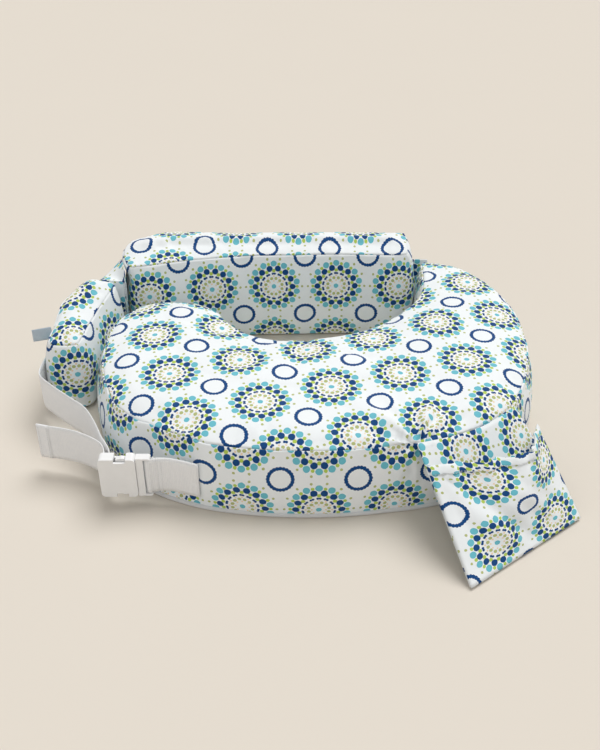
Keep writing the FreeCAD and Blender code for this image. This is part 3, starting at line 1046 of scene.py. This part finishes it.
def stitches(name, rows, radius=0.00028, length=0.0024, gap=0.0009):
    """Short raised threads along rows of (start, end, outward) in one object."""
    bm = bmesh.new()
    for start, end, out in rows:
        a, b, out = Vector(start), Vector(end), Vector(out).normalized()
        along = (b - a).normalized()
        across = along.cross(out).normalized()
        count = max(1, round((b - a).length / (length + gap)))
        for i in range(count):
            first = a + (b - a) * (i / count)
            last = first + along * length
            rings = []
            for t, size, rise in ((0, 0.35, -0.3), (0.2, 1, 0.55), (0.8, 1, 0.55), (1, 0.35, -0.3)):
                middle = first.lerp(last, t) + out * radius * rise
                spokes = [
                    across * math.cos(w) + out * math.sin(w)
                    for w in (math.tau * k / 6 for k in range(6))
                ]
                rings.append([bm.verts.new(middle + spoke * radius * size) for spoke in spokes])
            tube(bm, rings)
    return mesh_object(name, bm, [thread()])


def mm(points):
    return [tuple(c / 1000 for c in p) for p in points]


def follow_buckle(obj, nodes=()):
    """For webbing sewn to the wing at one end and held by the buckle socket at the other.

    Hides the parts given and bakes the placement into the mesh; the webbing is tied to no body.
    """
    if nodes:
        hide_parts(*nodes)
    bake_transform(obj)


class PILLOW_OT_straps(bpy.types.Operator):
    """Waist strap with its tail, and the short front strap"""

    bl_idname = "pillow.straps"
    bl_label = "Straps"

    def execute(self, context):
        low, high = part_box("waist_strap")[0][2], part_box("waist_strap")[1][2]
        bar = (-0.224, -0.129)
        turn = [
            (bar[0] + LOOP_TURN * math.cos(a), bar[1] + LOOP_TURN * math.sin(a))
            for a in (-math.pi * k / 6 for k in range(7))
        ]
        load = mm([
            (-335.5, 82), (-338.2, 64), (-337, 38), (-320, 17), (-291, -10), (-267, -32),
            (-250, -60), (-236, -90), (-224.5, -111),
        ])
        tail = mm([(-230, -112), (-241, -97), (-272, -79), (-318, -67)])
        belt = webbing("waist_belt", load + turn + tail, low, high, 0.0015, [webbing_cloth()])
        follow_buckle(belt, ("waist_strap",))
        end = Vector(tail[-1])
        back = (Vector(tail[-2]) - end).normalized()
        hem_path = [tuple(end + back * reach) for reach in (-0.0006, 0.007, 0.0150)]
        hem = webbing(
            "belt_tail_hem", hem_path, low - 0.0003, high + 0.0003, 0.0031, [webbing_cloth()]
        )
        follow_buckle(hem)
        out = Vector((-back.y, back.x))
        rows = []
        for side in (1, -1):
            for reach in (0.0020, 0.0125):
                q = end + back * reach + out * side * 0.00158
                rows.append((
                    (q.x, q.y, low + STITCH_MARGIN), (q.x, q.y, high - STITCH_MARGIN),
                    (out.x * side, out.y * side, 0),
                ))
        follow_buckle(stitches("belt_tail_stitches", rows))

        eye = (-0.1765, -0.131)
        path = mm([
            (-168.6, -129.9), (-152, -130.6), (-137, -134.6), (-128, -137.8), (-117.5, -141.8),
        ])
        strap = webbing("front_tab", path, low, high, 0.0030, [webbing_cloth()])
        dress(strap, "platform", ("front_strap",), "webbing")
        ring = [
            (eye[0] + EYE_TURN * math.cos(a), eye[1] + EYE_TURN * math.sin(a))
            for a in (math.radians(28 + 304 * k / 14) for k in range(15))
        ]
        ring = [mm([(-166.5, -129.2)])[0]] + ring + [mm([(-166.5, -130.7)])[0]]
        loop = webbing("front_tab_eye", ring, low, high, 0.0013, [webbing_cloth()], step=0.0015)
        dress(loop, "platform", (), "webbing")
        rows = [
            ((x, y, low + STITCH_MARGIN), (x, y, high - STITCH_MARGIN), (0, -1, 0))
            for x, y in ((-0.1655, -0.1317), (-0.1615, -0.1320))
        ]
        dress(stitches("front_tab_stitches", rows), "platform", (), "webbing")
        return {"FINISHED"}


class PILLOW_OT_fittings(bpy.types.Operator):
    """Buckle, zip and label finishes"""

    bl_idname = "pillow.fittings"
    bl_label = "Fittings"

    def execute(self, context):
        plastic = moulded_plastic()
        for name in ("buckle_socket", "buckle_plug_frame", "latch_arm_upper", "latch_arm_lower"):
            finish(NODES[name], plastic, 0.0007)
        tape = plain_cloth("zip_tape_cloth", (0.88, 0.88, 0.87), 0.0005, place="Object")
        for name in ("zip_tape_lower", "zip_tape_upper"):
            finish(NODES[name], tape, 0)
        for name in ("zip_slider", "zip_pull"):
            finish(NODES[name], plated_metal(), 0.0003)
        coil = zip_coil()
        dress(coil, "backrest", ("zip_chain",), "zip_nylon")
        tag = blank_label()
        dress(tag, "wing", ("label_tag",), "label_satin")
        return {"FINISHED"}


def finish(obj, material, soften):
    obj.data.materials.clear()
    obj.data.materials.append(material)
    if soften:
        bevel = obj.modifiers.new("Soft edges", "BEVEL")
        bevel.width = soften
        bevel.segments = 3
        bevel.limit_method = "ANGLE"
        bevel.angle_limit = math.radians(35)
        bevel.harden_normals = True


def zip_coil():
    """Two rows of moulded coil turns that mesh along the zip."""
    (x0, y0, z0), (x1, y1, z1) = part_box("zip_chain")
    middle, depth = (z0 + z1) / 2, y1 - y0
    pitch = 0.0019
    turn_profile = (
        (0, 0.8, 0.75), (0.25, 1, 1), (0.6, 0.85, 0.95), (0.85, 1.35, 0.9), (1, 0.8, 0.5),
    )
    count = int((x1 - x0) / pitch)
    bm = bmesh.new()
    for i in range(count):
        for side in (1, -1):
            x = x0 + pitch * (i + 0.3 + (0.5 if side > 0 else 0))
            base = middle + side * (z1 - z0) / 2
            head = middle - side * 0.0006
            rings = []
            for t, wide, tall in turn_profile:
                z = base + (head - base) * t
                rings.append([
                    bm.verts.new((
                        x + 0.00042 * wide * math.cos(w),
                        y0 + depth / 2 + depth * 0.44 * tall * math.sin(w), z,
                    ))
                    for w in (math.tau * k / 8 for k in range(8))
                ])
            tube(bm, rings)
    return mesh_object("zip_coil", bm, [coil_nylon()])


def coil_nylon():
    n = Nodes("coil_nylon")
    place = n.place("Object")
    mixed = n.mix(n.noise(place, 300.0), (0.80, 0.80, 0.79), (0.90, 0.90, 0.89))
    n.drive("Base Color", mixed)
    n.constant("Roughness", 0.38)
    n.bump(n.noise(place, 900.0), 0.1, 0.0001)
    return n.material


def blank_label():
    """A folded satin tag with no printing."""
    (x0, y0, z0), (x1, y1, z1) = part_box("label_tag")
    start, end = Vector((x1 + 0.004, y1 + 0.0005)), Vector((x0 + 0.0004, y0 + 0.0004))
    along = (end - start).normalized()
    side = Vector((-along.y, along.x))
    bend = []
    for k in range(9):
        t = k / 8
        bend.append(start.lerp(end, t) + side * (0.0002 + 0.0006 * math.sin(math.pi * t)))
    for k in range(8, -1, -1):
        t = k / 8
        bend.append(start.lerp(end, t) - side * (0.0002 + 0.0002 * math.sin(math.pi * t)))
    return webbing(
        "blank_label", [tuple(p) for p in bend], z0, z1, 0.00025, [satin()], step=0.0012
    )


def satin():
    n = Nodes("label_satin")
    place = n.place()
    ribs = n.vector("MULTIPLY", place, (math.tau / 0.0004, math.tau / 0.0016, 0))
    split = n.add("ShaderNodeSeparateXYZ")
    n.link(ribs, split.inputs[0])
    wave = n.math("SINE", split.outputs["X"])
    soft = n.noise(place, 160.0, 3.0)
    tone = n.math("MULTIPLY_ADD", wave, 0.2, soft, clamp=True)
    mixed = n.mix(tone, (0.44, 0.53, 0.62), (0.60, 0.69, 0.78))
    n.drive("Base Color", mixed)
    n.drive("Roughness", n.math("MULTIPLY_ADD", soft, 0.15, 0.32))
    n.constant("Sheen Weight", 0.3)
    n.bump(wave, 0.3, 0.0001)
    return n.material


@finish_named("white_thread")
def thread(n):
    place = n.place("Object")
    twist = n.noise(place, 1500.0, 2.0)
    n.drive("Base Color", n.mix(twist, (0.72, 0.73, 0.75), (0.90, 0.91, 0.92)))
    n.constant("Roughness", 0.6)
    n.bump(twist, 0.4, 0.0001)
    return n.material


class PILLOW_OT_pocket(bpy.types.Operator):
    """Side pocket with a gathered mouth, splayed to the floor"""

    bl_idname = "pillow.pocket"
    bl_label = "Pocket"

    def execute(self, context):
        seam = mm([(132, -144), (170, -133), (208, -117), (242, -96), (268.5, -72)])
        hem = mm([(184, -266), (208, -247.7), (256, -211), (302, -176), (327, -157)])
        mouth = mm([(141, -164), (178, -160), (222, -154), (260, -139), (279.3, -88.5)])
        low = 0.0026
        wide = 44
        front_centre = (0.0488, 0.1127)
        out = Vector((0.60, -0.80, 0.25)).normalized()
        seam_line, hem_line, mouth_line = (spread(line, wide) for line in (seam, hem, mouth))
        cloth = print_cloth()

        def back(u, v):
            edge = seam_line[u]
            inward = (Vector((0.14, 0.02)) - edge).normalized() * (0.0105 + draw_in(edge))
            top = Vector((*(edge + inward), 0.0945))
            bottom = Vector((*hem_line[u], low))
            p = top.lerp(bottom, v)
            a = u / wide
            p.z -= 0.004 * math.sin(math.pi * v) * math.sin(math.pi * a)
            return p

        def front(u, v):
            a = u / wide
            top = Vector((*mouth_line[u], 0.0860))
            bottom = Vector((*hem_line[u], low + 0.0004)) + Vector((0.0013, -0.0020, 0))
            p = top.lerp(bottom, v)
            fold = math.exp(-v / 0.16)
            ends = min(1.0, 6 * a, 6 * (1 - a))
            pleat = noise.noise(Vector((a * 11.0, 1.7, v * 1.2)))
            pleat += 0.6 * noise.noise(Vector((a * 26.0, 5.2, v * 2)))
            p += out * (0.0095 * pleat * fold * ends)
            p.z += 0.0020 * noise.noise(Vector((a * 12, 9.1, 0))) * fold
            p += out * 0.006 * math.sin(math.pi * min(v * 1.1, 1)) * math.sin(math.pi * a) ** 0.8
            soft = noise.noise(Vector((a * 3.2 + v * 1.5, v * 1.3, 3.3)))
            crease = noise.noise(Vector((a * 6.5 - v * 3.4, v * 1.1, 8.3)))
            width = math.sin(math.pi * a)
            p += out * (0.011 * soft + 0.010 * crease) * width * math.sin(math.pi * v)
            fan = math.atan2(v * 0.15 + 0.004, a * 0.175 + 0.004)
            reach = math.hypot(v * 0.15, a * 0.175)
            ridge = noise.noise(Vector((fan * 7.0, 2.5, reach * 6)))
            fade = math.exp(-reach / 0.05)
            begin = min(1, reach / 0.012)
            p += out * 0.009 * ridge * fade * begin * min(1, 8 * a, 8 * v + 0.15)
            return p

        down = [k / 30 for k in range(31)]
        panel = cloth_panel(
            "pocket_back", back, wide, down, POCKET_CLOTH, [cloth], (0.060, 0.020), 0.165, 0.150
        )
        face = cloth_panel(
            "pocket_front", front, wide, down, POCKET_CLOTH, [cloth], front_centre, 0.175, 0.150
        )
        dress(panel, "platform", ("pocket_back_panel",), "print_cloth")
        dress(face, "platform", ("pocket_front_panel",), "print_cloth")

        def casing(u, v):
            p = front(u, -0.012 + v * 0.085)
            return p + out * (0.0014 + 0.0008 * math.sin(math.pi * v))

        band_centre = (front_centre[0], front_centre[1] + 0.0018)
        band = cloth_panel(
            "pocket_elastic", casing, wide, [k / 6 for k in range(7)], 0.0010, [cloth],
            band_centre, 0.175, 0.0128,
        )
        dress(band, "platform", ("pocket_elastic_hem",), "print_cloth")
        line = [front(u, 0.066) + out * 0.0024 for u in range(1, wide)]
        rows = [(tuple(p), tuple(q), tuple(out)) for p, q in zip(line, line[1:])]
        dress(stitches("pocket_mouth_stitches", rows), "platform", (), "print_cloth")
        return {"FINISHED"}


def spread(line, parts):
    """parts + 1 even points along a smooth line."""
    total = sum((Vector(b) - Vector(a)).length for a, b in zip(line, line[1:]))
    points = spline(line, total / (parts * 4))
    last = len(points) - 1
    return [points[round(last * k / parts)] for k in range(parts + 1)]


def cloth_panel(
    name, place, wide, rows, thick, materials, centre, across, down, turn=math.radians(8)
):
    """A thin closed sheet from a surface formula; UVs run across and down the cloth."""
    bm = bmesh.new()
    uv = bm.loops.layers.uv.new("Cloth")
    grid = [[place(u, v) for u in range(wide + 1)] for v in rows]
    sides = []
    for way in (0.5, -0.5):
        layer = []
        for r, row in enumerate(grid):
            line = []
            for u, p in enumerate(row):
                left, right = row[max(u - 1, 0)], row[min(u + 1, wide)]
                up, below = grid[max(r - 1, 0)][u], grid[min(r + 1, len(grid) - 1)][u]
                normal = (right - left).cross(below - up).normalized()
                line.append(bm.verts.new(p + normal * thick * way))
            layer.append(line)
        sides.append(layer)
    last = len(rows) - 1

    def patch(corners, marks):
        face = bm.faces.new(corners)
        for corner, (u, v) in zip(face.loops, marks):
            x, y = u / wide * across - centre[0], centre[1] - v * down
            corner[uv].uv = (
                x * math.cos(turn) - y * math.sin(turn), x * math.sin(turn) + y * math.cos(turn)
            )

    for layer in sides:
        for r in range(last):
            for u in range(wide):
                patch(
                    (layer[r][u], layer[r][u + 1], layer[r + 1][u + 1], layer[r + 1][u]),
                    ((u, rows[r]), (u + 1, rows[r]), (u + 1, rows[r + 1]), (u, rows[r + 1])),
                )
    one, two = sides
    for r in range(last):
        for u in (0, wide):
            patch((one[r][u], one[r + 1][u], two[r + 1][u], two[r][u]),
                  ((u, rows[r]), (u, rows[r + 1]), (u, rows[r + 1]), (u, rows[r])))
    for u in range(wide):
        for r in (0, last):
            patch((one[r][u], one[r][u + 1], two[r][u + 1], two[r][u]),
                  ((u, rows[r]), (u + 1, rows[r]), (u + 1, rows[r]), (u, rows[r])))
    return mesh_object(name, bm, materials)


class PILLOW_OT_joins(bpy.types.Operator):
    """Cloth that bridges the wing crease and the rear corner"""

    bl_idname = "pillow.joins"
    bl_label = "Joins"

    def execute(self, context):
        cloth = print_cloth()
        cover = crease_gusset(cloth)
        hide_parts("crease_web")
        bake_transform(cover)
        low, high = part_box("rear_web")[0][2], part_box("rear_web")[1][2]

        def corner(u, v):
            t = u / 16
            bow = 0.0006 * math.sin(math.pi * t)
            return Vector((0.147 + 0.044 * t, 0.3048 + bow, high + (low - high) * v))

        rear = cloth_panel(
            "rear_corner_cover", corner, 16, [k / 24 for k in range(25)], 0.0012, [cloth],
            (0.0, 0.02), 0.044, high - low,
        )
        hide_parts("rear_web")
        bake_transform(rear)
        return {"FINISHED"}


def crease_gusset(cloth):
    """The soft wedge of cover between the wing's rear end and the backrest."""
    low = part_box("crease_web")[0][2]
    hinge = Vector((-0.2425, 0.1965))
    back_side, wing_side = Vector((-0.2570, 0.2560)), Vector((-0.2925, 0.2050))
    across, deep, tall = 16, 10, 18
    bm = bmesh.new()
    uv = bm.loops.layers.uv.new("Cloth")

    def place(t, r, h):
        edge = back_side.lerp(wing_side, t)
        edge += Vector((-0.81, 0.585)) * 0.007 * math.sin(math.pi * t)
        inner = hinge + (edge - hinge) * 0.10
        p = inner.lerp(edge, r)
        high = 0.129 - 0.014 * t - 0.009 * math.sin(math.pi * t) - 0.007 * r ** 4
        z = low + (high - low) * h
        pull = 1 - 0.08 * h ** 6 * r
        q = hinge + (p - hinge) * pull
        return Vector((q.x, q.y, z))

    keep = {}

    def vert(i, j, k):
        key = (i, j, k)
        if key not in keep:
            keep[key] = bm.verts.new(place(i / across, j / deep, k / tall))
        return keep[key]

    def quad(keys, mark):
        face = bm.faces.new([vert(*key) for key in keys])
        for corner, key in zip(face.loops, keys):
            corner[uv].uv = mark(corner.vert.co, key)

    def side(co, key):
        return (0.063 * key[0] / across + 0.012, co.z - 0.055)

    def cheek(co, key):
        return (0.012 + 0.05 * key[1] / deep, co.z - 0.055)

    def lid(co, key):
        return turned(co.x, co.y, math.radians(40), (-0.301, 0.196))

    for i in range(across):
        for k in range(tall):
            quad(((i, deep, k), (i + 1, deep, k), (i + 1, deep, k + 1), (i, deep, k + 1)), side)
            quad(((i, 0, k), (i + 1, 0, k), (i + 1, 0, k + 1), (i, 0, k + 1)), side)
        for j in range(deep):
            quad(((i, j, tall), (i + 1, j, tall), (i + 1, j + 1, tall), (i, j + 1, tall)), lid)
            quad(((i, j, 0), (i + 1, j, 0), (i + 1, j + 1, 0), (i, j + 1, 0)), lid)
    for j in range(deep):
        for k in range(tall):
            for i in (0, across):
                quad(((i, j, k), (i, j + 1, k), (i, j + 1, k + 1), (i, j, k + 1)), cheek)
    obj = mesh_object("crease_gusset", bm, [cloth])
    subdivide(obj)
    return obj


def gather_at_pocket(obj):
    """Creases that run over the top panel from the pocket's corners."""
    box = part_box("pocket_back_panel")
    corner = Vector((box[0][0] + 0.002, -0.133, 0.095))
    normals = [n.vector.copy() for n in obj.data.vertex_normals]
    for vertex, normal in zip(obj.data.vertices, normals):
        away = vertex.co - corner
        gap = away.length
        if gap > 0.20 or vertex.co.z < 0.04:
            continue
        angle = math.atan2(away.y, away.x)
        wave = noise.noise(Vector((angle * 3.6, 7.7, gap * 4)))
        fine = noise.noise(Vector((angle * 9.0, 2.2, gap * 9)))
        rise = 0.012 * wave * math.exp(-gap / 0.06) + 0.006 * fine * math.exp(-gap / 0.04)
        vertex.co += normal * rise * min(1, gap / 0.012)


def drape_lines(obj):
    """Long shallow creases where the top panel is pulled round the bend."""
    normals = [n.vector.copy() for n in obj.data.vertex_normals]
    for vertex, normal in zip(obj.data.vertices, normals):
        co = vertex.co
        share = smooth(0.088, 0.095, co.z)
        if share == 0:
            continue
        angle = math.atan2(co.y - 0.05, co.x - 0.02)
        ridge = noise.noise(Vector((angle * 5.5, 11.0, co.xy.length * 7)))
        where = smooth(-0.2, 0.3, noise.noise(Vector((angle * 1.3, 31.0, 2.0))))
        vertex.co += normal * (0.0035 * ridge * where * share)


def base_lip(loop, material):
    """The white underside cloth where it turns up to the side seam."""
    normals = outward(loop)
    bm = bmesh.new()
    uv = bm.loops.layers.uv.new("Cloth")
    profile = [
        (0.0, -0.006), (0.0, 0.0), (0.0008, 0.0016), (0.0026, 0.0022), (0.0044, 0.0020),
        (0.0054, 0.0004), (0.0056, -0.0022),
    ]
    rings = []
    for height, offset in profile:
        rings.append([
            bm.verts.new((*(p + n * (offset - draw_in(p))), height))
            for p, n in zip(loop, normals)
        ])
    s = 0.0
    for i in range(len(loop)):
        j = (i + 1) % len(loop)
        step = (loop[j] - loop[i]).length
        for k in range(len(rings) - 1):
            face = bm.faces.new((rings[k][i], rings[k][j], rings[k + 1][j], rings[k + 1][i]))
            marks = ((s, k), (s + step, k), (s + step, k + 1), (s, k + 1))
            for corner, (x, y) in zip(face.loops, marks):
                corner[uv].uv = (x, y * 0.002)
        s += step
    return mesh_object("base_edge", bm, [material], turn_out=False)


class PILLOW_OT_stage(bpy.types.Operator):
    """Floor, soft lights and camera"""

    bl_idname = "pillow.stage"
    bl_label = "Stage"

    def execute(self, context):
        look = context.scene.pillow_stage
        bm = bmesh.new()
        bmesh.ops.create_grid(bm, x_segments=20, y_segments=20, size=FLOOR_HALF)
        n = Nodes("floor_paper")
        place = n.place("Object")
        grain = n.noise(place, 3.0, 4.0)
        low = tuple(c * 0.985 for c in look.floor)
        n.drive("Base Color", n.mix(grain, low, look.floor[:]))
        n.constant("Roughness", 0.9)
        n.constant("Specular IOR Level", 0.1)
        mesh_object("floor", bm, [n.material], turn_out=False)
        add_sun("key_sky", look.key_power, (0.45, 0.60, 1.5), 42)
        add_sun("fill_sky", look.fill_power, (-0.5, -1.0, 0.8), 70)
        world = bpy.data.worlds.new("surround")
        world.use_nodes = True
        world.node_tree.nodes["Background"].inputs["Color"].default_value = (1.0, 0.99, 0.97, 1)
        world.node_tree.nodes["Background"].inputs["Strength"].default_value = look.sky
        context.scene.world = world
        camera_data = bpy.data.cameras.new("camera")
        camera_data.lens = CAMERA_LENS
        camera = bpy.data.objects.new("camera", camera_data)
        camera.location = CAMERA_PLACE
        camera.rotation_euler = (CAMERA_TILT, 0, 0)
        context.scene.collection.objects.link(camera)
        context.scene.camera = camera
        context.scene.view_settings.view_transform = "Standard"
        context.scene.view_settings.look = "None"
        return {"FINISHED"}


def add_sun(name, power, location, spread_angle):
    """A very soft, even light from the direction of location."""
    data = bpy.data.lights.new(name, "SUN")
    data.energy = power
    data.angle = math.radians(spread_angle)
    light = bpy.data.objects.new(name, data)
    light.location = location
    light.rotation_euler = (-Vector(location)).to_track_quat("-Z", "Y").to_euler()
    bpy.context.scene.collection.objects.link(light)


class PILLOW_PT_panel(bpy.types.Panel):
    """Lists the pieces and their sizes"""

    bl_idname = "PILLOW_PT_panel"
    bl_label = "Nursing pillow"
    bl_space_type = "VIEW_3D"
    bl_region_type = "UI"
    bl_category = "Pillow"

    def draw(self, context):
        layout = self.layout
        for operator in OPERATORS:
            layout.operator(operator.bl_idname)
        for setting in GROUPS:
            group = getattr(context.scene, setting)
            box = layout.box()
            for name in group.__annotations__:
                box.prop(group, name)


OPERATORS = [
    PILLOW_OT_stage, PILLOW_OT_platform, PILLOW_OT_backrest, PILLOW_OT_wing, PILLOW_OT_joins,
    PILLOW_OT_straps, PILLOW_OT_pocket, PILLOW_OT_fittings,
]
GROUPS = {
    "pillow_print": PillowPrintSettings,
    "pillow_shape": PillowShapeSettings,
    "pillow_stage": PillowStageSettings,
}


def register():
    for name, group in GROUPS.items():
        bpy.utils.register_class(group)
        setattr(bpy.types.Scene, name, bpy.props.PointerProperty(type=group))
    for operator in OPERATORS:
        bpy.utils.register_class(operator)
    bpy.utils.register_class(PILLOW_PT_panel)


def unregister():
    bpy.utils.unregister_class(PILLOW_PT_panel)
    for operator in reversed(OPERATORS):
        bpy.utils.unregister_class(operator)
    for name, group in GROUPS.items():
        delattr(bpy.types.Scene, name)
        bpy.utils.unregister_class(group)


def main():
    register()
    for operator in OPERATORS:
        section, name = operator.bl_idname.split(".")
        getattr(getattr(bpy.ops, section), name)()


if __name__ == "__main__":
    main()
